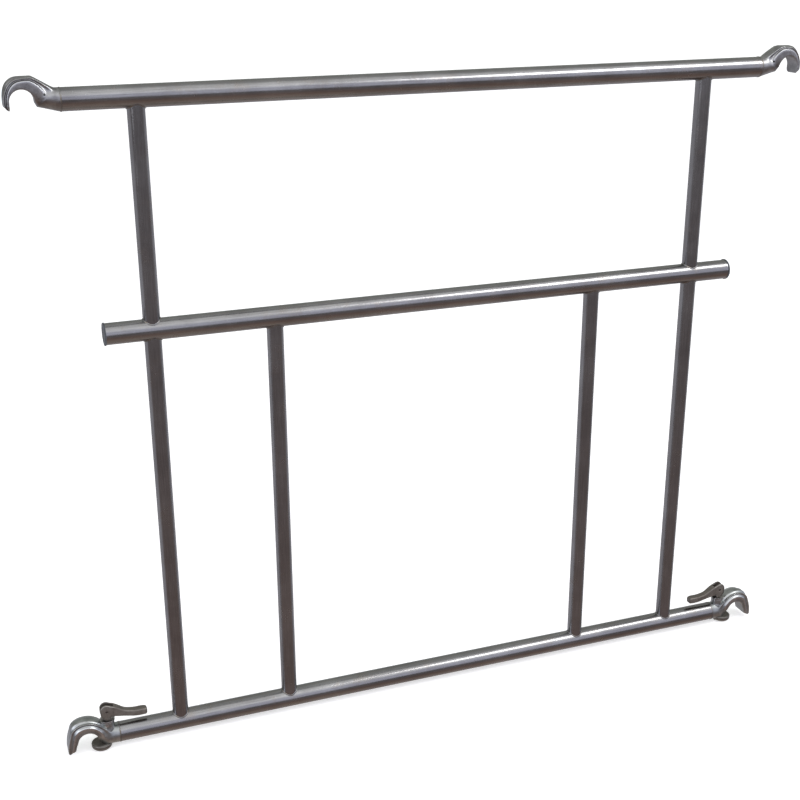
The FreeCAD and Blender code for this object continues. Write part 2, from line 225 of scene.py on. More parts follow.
def carve(target: bpy.types.Object, tools: list[tuple[Shell, str]], sharp_deg: float = 32.0) -> None:
    """Cuts shells out of an object's mesh, or joins them to it, and keeps the result as its mesh.

    Args:
        target: the object that is changed.
        tools: each tool's shell, and "DIFFERENCE" or "UNION".
        sharp_deg: edges over this angle stay sharp.
    """
    helpers = []
    for number, (shell, operation) in enumerate(tools):
        helper = make_object(f"{target.name}_tool{number}", shell)
        cut = target.modifiers.new(helper.name, "BOOLEAN")
        cut.operation, cut.solver, cut.object = operation, "EXACT", helper
        helpers.append(helper)
    graph = bpy.context.evaluated_depsgraph_get()
    result = bpy.data.meshes.new_from_object(target.evaluated_get(graph))
    target.modifiers.clear()
    target.data = result
    for helper in helpers:
        bpy.data.objects.remove(helper)
    result.shade_smooth()
    result.set_sharp_from_angle(angle=math.radians(sharp_deg))


def spline_weights(count: int, per_span: int) -> Array:
    """Weights that turn a closed ring of control points into points of a uniform cubic B-spline.

    For a share t of a span the four nearest control points weigh (1-t)^3/6, (3t^3-6t^2+4)/6,
    (-3t^3+3t^2+3t+1)/6 and t^3/6.

    Args:
        count: control points in the ring.
        per_span: points on each span between two of them.

    Returns:
        (count * per_span, count) weights.
    """
    t = np.tile(np.arange(per_span) / per_span, count)
    span = np.repeat(np.arange(count), per_span)
    four = np.stack([(1 - t) ** 3, 3 * t ** 3 - 6 * t ** 2 + 4,
                     -3 * t ** 3 + 3 * t ** 2 + 3 * t + 1, t ** 3], axis=1) / 6
    columns = (span[:, None] + np.arange(-1, 3)) % count
    weights = np.zeros((len(t), count))
    np.add.at(weights, (np.arange(len(t))[:, None], columns), four)
    return weights


def through(knots: Knots, stations: Array) -> Array:
    """A smooth curve through knots: cubic Hermite spans, each tangent the slope between neighbours.

    Args:
        knots: (station, value, value, ...) in rising order of station.
        stations: where the curve is wanted.

    Returns:
        (len(stations), values per knot).
    """
    table = np.array(knots, float)
    at, value = table[:, 0], table[:, 1:]
    slope = np.empty_like(value)
    slope[1:-1] = (value[2:] - value[:-2]) / (at[2:] - at[:-2])[:, None]
    slope[0] = (value[1] - value[0]) / (at[1] - at[0])
    slope[-1] = (value[-1] - value[-2]) / (at[-1] - at[-2])
    k = np.clip(np.searchsorted(at, stations, side="right") - 1, 0, len(at) - 2)
    width = (at[k + 1] - at[k])[:, None]
    t = np.clip((stations[:, None] - at[k][:, None]) / width, 0, 1)
    return ((2 * t ** 3 - 3 * t ** 2 + 1) * value[k] + (t ** 3 - 2 * t ** 2 + t) * width * slope[k]
            + (3 * t ** 2 - 2 * t ** 3) * value[k + 1] + (t ** 3 - t ** 2) * width * slope[k + 1])


def along(knots: Knots, stations: Array) -> Array:
    """Straight runs between knots of (station, value, ...), as (len(stations), values)."""
    table = np.array(knots, float)
    return np.stack([np.interp(stations, table[:, 0], column) for column in table[:, 1:].T], axis=1)


def around(radius: Array, height: Array, centre: Array, steps: int, axis: int,
           crest: Array | None = None, closed: bool = False) -> Shell:
    """Loops round an axis: point = centre + radius * (cos a, sin a) across it + height along it.

    Args:
        radius, height: (loops, 1 or steps) in metres.
        centre: a point on the axis.
        steps: how many places round the axis.
        axis: 0, 1 or 2 for x, y or z.
        crest: (loops,) crest value of each loop.
        closed: the last loop joins the first, round a hole.

    Returns:
        The shell.
    """
    angle = np.arange(steps) / steps * TURN
    points = np.empty((len(radius), steps, 3))
    points[..., (axis + 1) % 3] = radius * np.cos(angle)
    points[..., (axis + 2) % 3] = radius * np.sin(angle)
    points[..., axis] = height
    worn = None if crest is None else np.repeat(crest[:, None], steps, axis=1)
    return grid_shell(points + centre, worn, closed_rows=closed)


def turned(corners: list[tuple[float, float, float]], centre: Array, steps: int = 96, axis: int = 2,
           per_corner: int = 6, ring: bool = False) -> Shell:
    """A profile with rounded corners, turned about an axis.

    A corner c is cut back along both its sides, to a and b, and bridged with the quadratic curve
    (1-t)^2 a + 2t(1-t) c + t^2 b, which keeps both tangents. Its crest value is sin(pi t).

    Args:
        corners: (radius, height, rounding) in millimetres.
        centre: where height 0 of the profile is, in metres.
        steps: how many places round the axis.
        axis: 0, 1 or 2 for x, y or z.
        per_corner: points on each rounding.
        ring: the profile is closed, round a hole.

    Returns:
        The shell.
    """
    places = np.array([c[:2] for c in corners], float)
    points, crest = [], []
    t = np.linspace(0, 1, per_corner)[:, None]
    for k, (_, _, rounding) in enumerate(corners):
        here = places[k]
        if rounding == 0 or (not ring and k in (0, len(corners) - 1)):
            points.append(here[None])
            crest.append(np.zeros(1))
            continue
        before, after = places[k - 1] - here, places[(k + 1) % len(corners)] - here
        start = here + before * min(0.5, rounding / np.linalg.norm(before))
        end = here + after * min(0.5, rounding / np.linalg.norm(after))
        points.append((1 - t) ** 2 * start + 2 * t * (1 - t) * here + t ** 2 * end)
        crest.append(np.sin(t[:, 0] * math.pi))
    profile = np.concatenate(points) * MM
    return around(profile[:, :1], profile[:, 1:], centre, steps, axis, np.concatenate(crest), ring)


def rod(radius: float, low: float, high: float, centre: Array, steps: int, axis: int = 2) -> Shell:
    """A plain cylinder, in millimetres from `centre`, which is in metres."""
    corners = [(ON_AXIS, low, 0), (radius, low, 0), (radius, high, 0), (ON_AXIS, high, 0)]
    return turned(corners, centre, steps, axis)


# ---------------------------------------------------------------- shader graph

class Channel:
    """A node's output socket, with the arithmetic that the finishes are written in."""

    def __init__(self, graph: "Graph", socket: bpy.types.NodeSocket) -> None:
        """Keeps the graph that the socket is in."""
        self.graph = graph
        self.socket = socket

    def _math(self, operation: str, first: object, second: object) -> "Channel":
        """A Math node on two values."""
        return self.graph.node("ShaderNodeMath", {"operation": operation}, {0: first, 1: second})

    def __add__(self, other: object) -> "Channel":
        """self + other."""
        return self._math("ADD", self, other)

    def __sub__(self, other: object) -> "Channel":
        """self - other."""
        return self._math("SUBTRACT", self, other)

    def __rsub__(self, other: object) -> "Channel":
        """other - self."""
        return self._math("SUBTRACT", other, self)

    def __mul__(self, other: object) -> "Channel":
        """self * other."""
        return self._math("MULTIPLY", self, other)

    __radd__ = __add__
    __rmul__ = __mul__

    def clamped(self) -> "Channel":
        """self held between 0 and 1."""
        return self._math("MAXIMUM", self._math("MINIMUM", self, 1.0), 0.0)


class Graph:
    """The nodes of one material."""

    def __init__(self, name: str) -> None:
        """Starts an empty material with its surface shader.

        Args:
            name: the material's name.
        """
        self.owner = bpy.data.materials.new(name)
        self.owner.use_nodes = True
        self.tree = self.owner.node_tree
        self.tree.nodes.clear()
        output = self.tree.nodes.new("ShaderNodeOutputMaterial")
        self.shader = self.tree.nodes.new("ShaderNodeBsdfPrincipled")
        self.tree.links.new(self.shader.outputs["BSDF"], output.inputs["Surface"])

    def node(self, kind: str, settings: dict[str, object] | None = None,
             values: dict[object, object] | None = None, output: object = 0) -> Channel:
        """Adds a node.

        Args:
            kind: the node's type.
            settings: its own properties.
            values: a number, a tuple or a Channel for each input socket.
            output: which output is handed back.

        Returns:
            The output as a Channel.
        """
        made = self.tree.nodes.new(kind)
        for key, value in (settings or {}).items():
            setattr(made, key, value)
        for key, value in (values or {}).items():
            self.set(made.inputs[key], value)
        return Channel(self, made.outputs[output])

    def set(self, socket: bpy.types.NodeSocket, value: object) -> None:
        """Links a Channel to a socket, or sets the socket to a constant.

        Args:
            socket: an input of a node.
            value: what it takes.
        """
        if isinstance(value, Channel):
            self.tree.links.new(value.socket, socket)
        else:
            socket.default_value = value

    def noise(self, scale: float, detail: float = 4, rough: float = 0.55,
              stretch: tuple[float, float, float] = (1, 1, 1)) -> Channel:
        """Fractal noise between 0 and 1 over object coordinates.

        Args:
            scale: features to the metre, before stretching.
            detail: octaves.
            rough: how much each octave keeps of the one before.
            stretch: factor on each coordinate; features are longer where it is small.

        Returns:
            The noise.
        """
        spot = self.node("ShaderNodeTexCoord", output="Object")
        spot = self.node("ShaderNodeMapping", {}, {"Vector": spot, "Scale": stretch})
        return self.node("ShaderNodeTexNoise", {}, {"Vector": spot, "Scale": scale, "Detail": detail,
                                                    "Roughness": rough})

    def band(self, value: Channel, low: float, high: float) -> Channel:
        """0 below `low`, 1 above `high`, straight in between."""
        return self.node("ShaderNodeMapRange", {}, {"Value": value, "From Min": low, "From Max": high})

    def mix(self, share: object, first: object, second: object) -> Channel:
        """A colour between two, by a share."""
        return self.node("ShaderNodeMix", {"data_type": "RGBA"}, {0: share, 6: first, 7: second}, output=2)

    def crest(self) -> Channel:
        """The mesh's own crest value: 1 on ridges and edges."""
        return self.node("ShaderNodeAttribute", {"attribute_name": "crest"}, output="Fac")

    def worn(self, cloud: Channel, ragged: float, low: float, high: float) -> Channel:
        """The crest value between two limits, its border made ragged by a noise."""
        return self.band(self.crest() + (cloud - 0.5) * ragged, low, high)

    def bumps(self, layers: list[tuple[Channel, float, float]]) -> Channel:
        """Bump nodes in a chain.

        Args:
            layers: (height, strength, depth in metres) of each.

        Returns:
            The last one's normal.
        """
        chained = {}
        for height, strength, depth in layers:
            values = {"Height": height, "Strength": strength, "Distance": depth}
            chained = {"Normal": self.node("ShaderNodeBump", {}, values | chained)}
        return chained["Normal"]

    def finish(self, **sockets: object) -> bpy.types.Material | bpy.types.World:
        """Sets the shader's sockets.

        Args:
            sockets: each one's value by its name, with _ for a space.

        Returns:
            What owns the nodes.
        """
        for key, value in sockets.items():
            self.set(self.shader.inputs[key.replace("_", " ")], value)
        return self.owner


class SkyGraph(Graph):
    """The nodes of a world, whose shader is its background."""

    def __init__(self, name: str) -> None:
        """Starts a world with its background shader.

        Args:
            name: the world's name.
        """
        self.owner = bpy.data.worlds.new(name)
        self.owner.use_nodes = True
        self.tree = self.owner.node_tree
        self.shader = self.tree.nodes["Background"]

    def direction(self, axis: int) -> Channel:
        """One component, x, y or z, of the direction looked in."""
        aim = self.node("ShaderNodeTexCoord", output="Generated")
        return self.node("ShaderNodeSeparateXYZ", {}, {0: aim}, output=axis)

    def layers(self, value: Channel, stops: list[tuple[float, tuple[float, float, float]]]) -> Channel:
        """Colours laid one over the next as a value passes each stop, blending straight in between.

        Args:
            value: what is compared with the stops.
            stops: (value, colour) in rising order.

        Returns:
            The colour.
        """
        colour = (*stops[0][1], 1)
        for (low, _), (high, tone) in zip(stops, stops[1:]):
            colour = self.mix(self.band(value, low, high), colour, (*tone, 1))
        return colour


# ---------------------------------------------------------------- finishes

# What a finish says of its surface: colour, roughness and the layers of its bump.
Look = tuple[Channel, Channel, list[tuple[Channel, float, float]]]


@dataclass(frozen=True)
class Finish:
    """A procedural surface. Each kind says how its colour, roughness and relief vary."""
    name: str
    metallic: float = 1.0

    def look(self, g: Graph) -> Look:
        """Adds the nodes that are this kind's own."""
        raise NotImplementedError

    def material(self) -> bpy.types.Material:
        """Builds the material.

        Returns:
            The material.
        """
        g = Graph(self.name)
        tone, rough, relief = self.look(g)
        return g.finish(Base_Color=tone, Metallic=self.metallic, Roughness=rough.clamped(),
                        Normal=g.bumps(relief))


class Grain(Enum):
    """Which way a tube was drawn: the stretch of its lines."""
    ALONG_X = (0.012, 1.0, 1.0)
    ALONG_Z = (1.0, 1.0, 0.012)


@dataclass(frozen=True)
class DrawnSteel(Finish):
    """Bare drawn tube: fine lines along its length, cloudy oil film, faint handling scratches."""
    grain: Grain = Grain.ALONG_X
    light: Colour = (0.40, 0.40, 0.405, 1)
    dark: Colour = (0.25, 0.245, 0.25, 1)
    film: Colour = (0.30, 0.265, 0.235, 1)
    scratch: Colour = (0.55, 0.55, 0.56, 1)
    roughness: float = 0.20

    def look(self, g: Graph) -> Look:
        """Drawing lines and clouds, under patches of film and a few scratches.

        Args:
            g: the material's nodes.

        Returns:
            The look.
        """
        lines = g.noise(1400, 3, 0.6, self.grain.value)
        cloud = g.noise(9, 5, 0.6)
        patch = g.band(g.noise(26, 6, 0.7), 0.52, 0.70)
        scuff = g.band(g.noise(420, 2, 0.5, (1, 0.35, 0.6)), 0.66, 0.74)
        tone = g.mix(g.band(lines * 0.55 + cloud * 0.45, 0.36, 0.64), self.dark, self.light)
        tone = g.mix(scuff * 0.35, g.mix(patch * 0.45, tone, self.film), self.scratch)
        rough = (lines - 0.5) * 0.12 + (cloud - 0.5) * 0.16 + patch * 0.08 - scuff * 0.05 + self.roughness
        return tone, rough, [(cloud, 0.10, 0.0008), (lines, 0.12, 0.00006)]


@dataclass(frozen=True)
class ForgedSteel(Finish):
    """Forged and tumbled steel: a fine orange-peel skin, dull in its grooves, bright on its crests."""
    light: Colour = (0.47, 0.475, 0.475, 1)
    dark: Colour = (0.22, 0.215, 0.22, 1)
    bright: Colour = (0.72, 0.73, 0.73, 1)
    pit: Colour = (0.10, 0.09, 0.085, 1)
    roughness: float = 0.34

    def look(self, g: Graph) -> Look:
        """Skin and clouds, rubbed bright on the crests, with dark pits.

        Args:
            g: the material's nodes.

        Returns:
            The look.
        """
        skin = g.noise(900, 4, 0.6)
        cloud = g.noise(38, 5, 0.62)
        pits = g.band(g.noise(520, 2, 0.5), 0.68, 0.80)
        worn = (g.worn(cloud, 0.5, 0.25, 0.95) * 0.85).clamped()
        tone = g.mix(g.band(skin * 0.3 + cloud * 0.7, 0.38, 0.62), self.dark, self.light)
        tone = g.mix(pits * 0.7, g.mix(worn, tone, self.bright), self.pit)
        rough = (skin - 0.5) * 0.14 + (cloud - 0.5) * 0.20 + pits * 0.25 - worn * 0.14 + self.roughness
        return tone, rough, [(cloud, 0.30, 0.0012), (skin, 0.30, 0.00012)]


@dataclass(frozen=True)
class CastIron(Finish):
    """Sand-cast iron under a thin brown oxide, its edges and crests handled back to grey metal."""
    metallic: float = 0.75
    oxide: Colour = (0.150, 0.130, 0.114, 1)
    pale: Colour = (0.255, 0.235, 0.212, 1)
    bare: Colour = (0.40, 0.39, 0.365, 1)
    roughness: float = 0.46

    def look(self, g: Graph) -> Look:
        """Sand grain and lumps under clouds of oxide, bare on the crests.

        Args:
            g: the material's nodes.

        Returns:
            The look.
        """
        sand = g.noise(1500, 3, 0.7)
        lump = g.noise(240, 3, 0.5)
        cloud = g.noise(60, 5, 0.65)
        worn = (g.worn(cloud, 0.7, 0.35, 1.0) * 0.8).clamped()
        tone = g.mix(g.band(cloud * 0.6 + sand * 0.4, 0.38, 0.62), self.oxide, self.pale)
        rough = (sand - 0.5) * 0.25 + (cloud - 0.5) * 0.18 - worn * 0.16 + self.roughness
        return g.mix(worn, tone, self.bare), rough, [(lump, 0.35, 0.0006), (sand, 0.45, 0.00018)]


@dataclass(frozen=True)
class WeldMetal(Finish):
    """Solidified weld: heat-tinted straw and blue beside a grey ripple."""
    grey: Colour = (0.25, 0.245, 0.24, 1)
    straw: Colour = (0.21, 0.18, 0.145, 1)
    blue: Colour = (0.13, 0.14, 0.165, 1)
    ripple: Colour = (0.42, 0.42, 0.42, 1)

    def look(self, g: Graph) -> Look:
        """Heat tints under a paler ripple, with fine spatter.

        Args:
            g: the material's nodes.

        Returns:
            The look.
        """
        tint = g.noise(70, 4, 0.6)
        spatter = g.noise(1100, 3, 0.6)
        tone = g.mix(g.band(tint, 0.40, 0.52), self.straw, self.grey)
        tone = g.mix(g.band(tint, 0.56, 0.68) * 0.7, tone, self.blue)
        tone = g.mix(g.crest() * 0.25, tone, self.ripple)
        return tone, (spatter - 0.5) * 0.3 + 0.42, [(spatter, 0.4, 0.00015)]


@dataclass(frozen=True)
class MachinedSteel(Finish):
    """Turned steel: fine rings left by the tool, and a light oil stain."""
    light: Colour = (0.42, 0.41, 0.41, 1)
    dark: Colour = (0.24, 0.23, 0.225, 1)
    edge: Colour = (0.66, 0.66, 0.66, 1)
    roughness: float = 0.30

    def look(self, g: Graph) -> Look:
        """Rings and stain, rubbed bright on the edges.

        Args:
            g: the material's nodes.

        Returns:
            The look.
        """
        rings = g.noise(2200, 2, 0.5, (0.25, 0.25, 1.0))
        stain = g.noise(130, 5, 0.65)
        worn = g.crest()
        tone = g.mix(worn * 0.7, g.mix(g.band(stain, 0.38, 0.64), self.dark, self.light), self.edge)
        rough = (rings - 0.5) * 0.15 + (stain - 0.5) * 0.25 - worn * 0.08 + self.roughness
        return tone, rough, [(rings, 0.25, 0.00008)]


@dataclass(frozen=True)
class MouldedPlastic(Finish):
    """Dark moulded plastic with a fine spark-eroded texture and scuffed rim."""
    metallic: float = 0.0
    base: Colour = (0.026, 0.030, 0.036, 1)
    pale: Colour = (0.052, 0.060, 0.072, 1)
    scuff: Colour = (0.20, 0.21, 0.22, 1)

    def look(self, g: Graph) -> Look:
        """Dust over the base colour, scuffed on the edges.

        Args:
            g: the material's nodes.

        Returns:
            The look.
        """
        texture = g.noise(1700, 3, 0.7)
        dust = g.noise(90, 5, 0.65)
        scuffs = g.worn(dust, 0.9, 0.45, 1.1).clamped()
        tone = g.mix(scuffs * 0.5, g.mix(g.band(dust, 0.40, 0.66), self.base, self.pale), self.scuff)
        return tone, (texture - 0.5) * 0.2 + dust * 0.12 + 0.40, [(texture, 0.5, 0.00012)]


# ---------------------------------------------------------------- sub-assemblies

class SubAssembly:
    """Makes pieces for one part of the frame, dresses them and puts them on their bodies."""

    def dress(self, piece: bpy.types.Object, finish: bpy.types.Material, body: str, slot: str,
              node: str) -> None:
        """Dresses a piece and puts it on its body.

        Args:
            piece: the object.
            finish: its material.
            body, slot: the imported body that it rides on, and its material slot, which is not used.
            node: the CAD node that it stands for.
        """
        piece.data.materials.clear()
        piece.data.materials.append(finish)
        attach(piece, body)
        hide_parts(node)
        log.info("made %s: %d faces", piece.name, len(piece.data.polygons))


RAILS = ("bottom_rail", "middle_rail", "top_rail")
# Each kind of post, with the rail that it stands on and the rail that it reaches.
POSTS = {"upper_post": ("middle_rail", "top_rail"),
         "lower_outer_post": ("bottom_rail", "middle_rail"),
         "lower_inner_post": ("bottom_rail", "middle_rail")}


@dataclass
class Tubes(SubAssembly):
    """The three rails and the six posts.

    Args:
        steps: places round a tube.
        rail_wall, post_wall: wall thickness in millimetres.
    """
    steps: int = 120
    rail_wall: float = 3.2
    post_wall: float = 2.6

    def tube(self, bar: Bar, axis: int, wall: float, rails: tuple[Bar, Bar] | None = None) -> Shell:
        """A tube: loops along its outer surface one way and along its inner surface back.

        Args:
            bar: its outer surface.
            axis: 0 for x or 2 for z.
            wall: its wall in millimetres.
            rails: the rails that its ends are coped to, each at z +- sqrt(R^2 - (r sin a)^2); none
                for flat ends.

        Returns:
            The shell.
        """
        angle = np.arange(self.steps) / self.steps * TURN
        radius = np.repeat([bar.radius, bar.radius - wall * MM], [5, 3])[:, None]
        share = np.array([0, 0.02, 0.5, 0.98, 1, 1, 0.5, 0])[:, None]
        low, high = bar.low[axis], bar.high[axis]
        if rails:
            low, high = (rail.centre[2] + up * np.sqrt(rail.radius ** 2 - (radius * np.sin(angle)) ** 2)
                         for rail, up in zip(rails, (1, -1)))
        centre = bar.centre * [1, 0, 1]
        centre[axis] = 0
        return around(radius, low + (high - low) * share, centre, self.steps, axis, closed=True)

    def build(self) -> None:
        """Makes all nine tubes."""
        along_x = DrawnSteel("drawn_steel_along_x", grain=Grain.ALONG_X).material()
        along_z = DrawnSteel("drawn_steel_along_z", grain=Grain.ALONG_Z).material()
        rails = {node: Bar.of(node, 0) for node in RAILS}
        for node, bar in rails.items():
            piece = make_object(node.replace("rail", "rail_tube"), self.tube(bar, 0, self.rail_wall))
            self.dress(piece, along_x, "frame", "rail_steel", node)
        for side in Side:
            for kind, (lower, upper) in POSTS.items():
                node = f"{kind}_{side.label}"
                shell = self.tube(Bar.of(node, 2), 2, self.post_wall, (rails[lower], rails[upper]))
                piece = make_object(node.replace("post", "post_tube"), shell)
                self.dress(piece, along_z, "frame", "post_steel", node)


@dataclass
class Welds(SubAssembly):
    """Fillet beads round the posts and thin ring beads where the rails meet the claws.

    Args:
        leg: fillet leg in millimetres.
        pitch: length of one ripple.
        root_sink: how far a bead reaches into the steel under it.
        ring_proud: how far a ring bead stands off the rail.
        ring_width: its width along the rail.
        steps: places round a bead.
        arc: places across it.
    """
    leg: float = 2.1
    pitch: float = 2.6
    root_sink: float = 0.6
    ring_proud: float = 0.75
    ring_width: float = 3.4
    steps: int = 220
    arc: int = 9

    def ripple(self, angle: Array, radius: float) -> Array:
        """Bead size round its path: 1 on a ripple's crest, a tenth less between ripples.

        The ripples are |sin| arches, pushed along a little by slow waves so that no two are alike.

        Args:
            angle: (N,) places round the path.
            radius: the path's radius in metres.

        Returns:
            (N,) sizes.
        """
        count = round(TURN * radius / (self.pitch * MM))
        drift = 0.55 * np.sin(3 * angle) + 0.4 * np.sin(7 * angle + 1)
        return 0.88 + 0.10 * np.abs(np.sin(count * angle / 2 + drift)) + 0.02 * np.sin(5 * angle)

    def fillet(self, post: Bar, rail: Bar, up: int) -> Shell:
        """The bead round one post.

        Its root runs along the saddle (x + r cos a, r sin a, z +- sqrt(R^2 - (r sin a)^2)), and each
        section is root + leg * (cos b * q + sin b * k), b from 0 to a right angle, where q is the
        rail's own tangent away from the post and k is the post's axis.

        Args:
            post, rail: the two tubes.
            up: 1 if the post stands on the rail, -1 if it hangs under it.

        Returns:
            The shell.
        """
        angle = np.arange(self.steps) / self.steps * TURN
        out = np.stack([np.cos(angle), np.sin(angle), np.zeros_like(angle)], axis=1)
        height = np.sqrt(rail.radius ** 2 - (post.radius * np.sin(angle)) ** 2)
        root = post.radius * out
        root[:, 0] += post.centre[0]
        root[:, 2] = rail.centre[2] + up * height
        tangent = out.copy()
        tangent[:, 2] = -up * post.radius * np.sin(angle) ** 2 / height
        tangent /= np.linalg.norm(tangent, axis=1)[:, None]
        axis = np.array([0, 0, float(up)])
        bend = np.linspace(0, math.pi / 2, self.arc)
        swell = self.ripple(angle, post.radius)[:, None]
        arch = np.cos(bend)[None, :, None] * tangent[:, None] + np.sin(bend)[None, :, None] * axis
        inside = root - self.root_sink * MM * (out + axis)
        section = np.concatenate([root[:, None] + self.leg * MM * swell[..., None] * arch,
                                  inside[:, None]], axis=1)
        worn = np.zeros(section.shape[:2])
        worn[:, :-1] = np.sin(2 * bend) * swell ** 6
        return grid_shell(section, worn, closed_rows=True)

    def ring(self, rail: Bar, side: Side) -> Shell:
        """The bead round a rail's end: half an ellipse over the joint, rippled round the rail.

        Args:
            rail: the rail.
            side: which of its ends.

        Returns:
            The shell.
        """
        end = (rail.low if side is Side.LEFT else rail.high)[0]
        angle = np.arange(self.steps) / self.steps * TURN
        bend = np.linspace(0, math.pi, self.arc)
        swell = self.ripple(angle, rail.radius)[:, None]
        out = rail.radius + self.ring_proud * MM * np.sin(bend) * swell
        out = np.concatenate([out, np.full((self.steps, 1), rail.radius - 0.5 * MM)], axis=1)
        reach = np.append((np.cos(bend) - 0.8) / 2, -0.4)
        x = end + side.value * self.ring_width * MM * reach
        points = np.stack([np.broadcast_to(x, out.shape), out * np.cos(angle)[:, None],
                           rail.centre[2] + out * np.sin(angle)[:, None]], axis=2)
        worn = np.zeros(out.shape)
        worn[:, :-1] = np.sin(bend) * swell ** 6 * 0.6
        return grid_shell(points, worn, closed_rows=True)

    def build(self) -> None:
        """Makes the four weld pieces."""
        metal = WeldMetal("weld_metal").material()
        rails = {node: Bar.of(node, 0) for node in RAILS}
        beads = {node: [] for node in RAILS}
        for kind, (lower, upper) in POSTS.items():
            for post in (Bar.of(f"{kind}_{side.label}", 2) for side in Side):
                beads[lower].append(self.fillet(post, rails[lower], 1))
                beads[upper].append(self.fillet(post, rails[upper], -1))
        pieces = {f"{rail}_weld_beads": (shells, f"{rail}_welds") for rail, shells in beads.items()}
        rings = [self.ring(rails[rail], side) for rail in ("bottom_rail", "top_rail") for side in Side]
        pieces["claw_weld_beads"] = (rings, "claw_welds")
        for name, (shells, node) in pieces.items():
            self.dress(make_object(name, joined(shells), 60), metal, "frame", "weld_metal", node)


@dataclass
class EndPlugs(SubAssembly):
    """The moulded plugs of the middle rail: a crowned flange outside, a ribbed skirt inside.

    Args:
        flange: the flange's thickness in millimetres.
        skirt, skirt_r: the skirt's length and radius.
        ribs: how many ribs grip the tube.
        rim_gap: how far the flange stays inside the CAD flange.
    """
    flange: float = 4.0
    skirt: float = 18.0
    skirt_r: float = 20.7
    ribs: int = 3
    rim_gap: float = 0.02

    def profile(self, rim: float) -> list[tuple[float, float, float]]:
        """Corners of the plug.

        Args:
            rim: the flange's radius in millimetres.

        Returns:
            (radius, distance outwards from the tube's end, rounding) of each.
        """
        face, skirt = self.flange, self.skirt_r
        corners = [(ON_AXIS, face - 0.9, 0), (8.0, face - 0.85, 3), (rim - 6.5, face - 0.7, 2),
                   (rim - 5.2, face, 0.9), (rim - 0.25, face - 0.1, 1.6), (rim, 0.45, 0.9),
                   (rim - 0.6, 0.05, 0.3), (skirt, 0.05, 0)]
        for at in -3 - np.arange(self.ribs) * (self.skirt - 4) / self.ribs:
            corners += [(skirt - 0.7, at, 0.3), (skirt, at - 0.6, 0.3), (skirt - 0.7, at - 2.2, 0.3)]
        return corners + [(skirt - 1.5, -self.skirt, 0.6), (skirt - 3.4, -self.skirt, 0.6),
                          (skirt - 3.0, -1.0, 0.8), (ON_AXIS, -0.6, 0)]

    def build(self) -> None:
        """Makes both plugs."""
        plastic = MouldedPlastic("moulded_plastic").material()
        rail = Bar.of("middle_rail", 0)
        end = np.array([rail.high[0], 0, rail.centre[2]])
        for side in Side:
            node = f"middle_rail_cap_{side.label}"
            shell = turned(self.profile(Bar.of(node, 0).high[1] / MM - self.rim_gap), end, 120, 0)
            piece = make_object(f"middle_rail_plug_{side.label}", shell.on_side(side), 50)
            self.dress(piece, plastic, "frame", "cap_plastic", node)


# A point of a claw's section: (inset from its half width in millimetres, share of its height, crest).
Ridge = tuple[float | Array, float | Array, float]


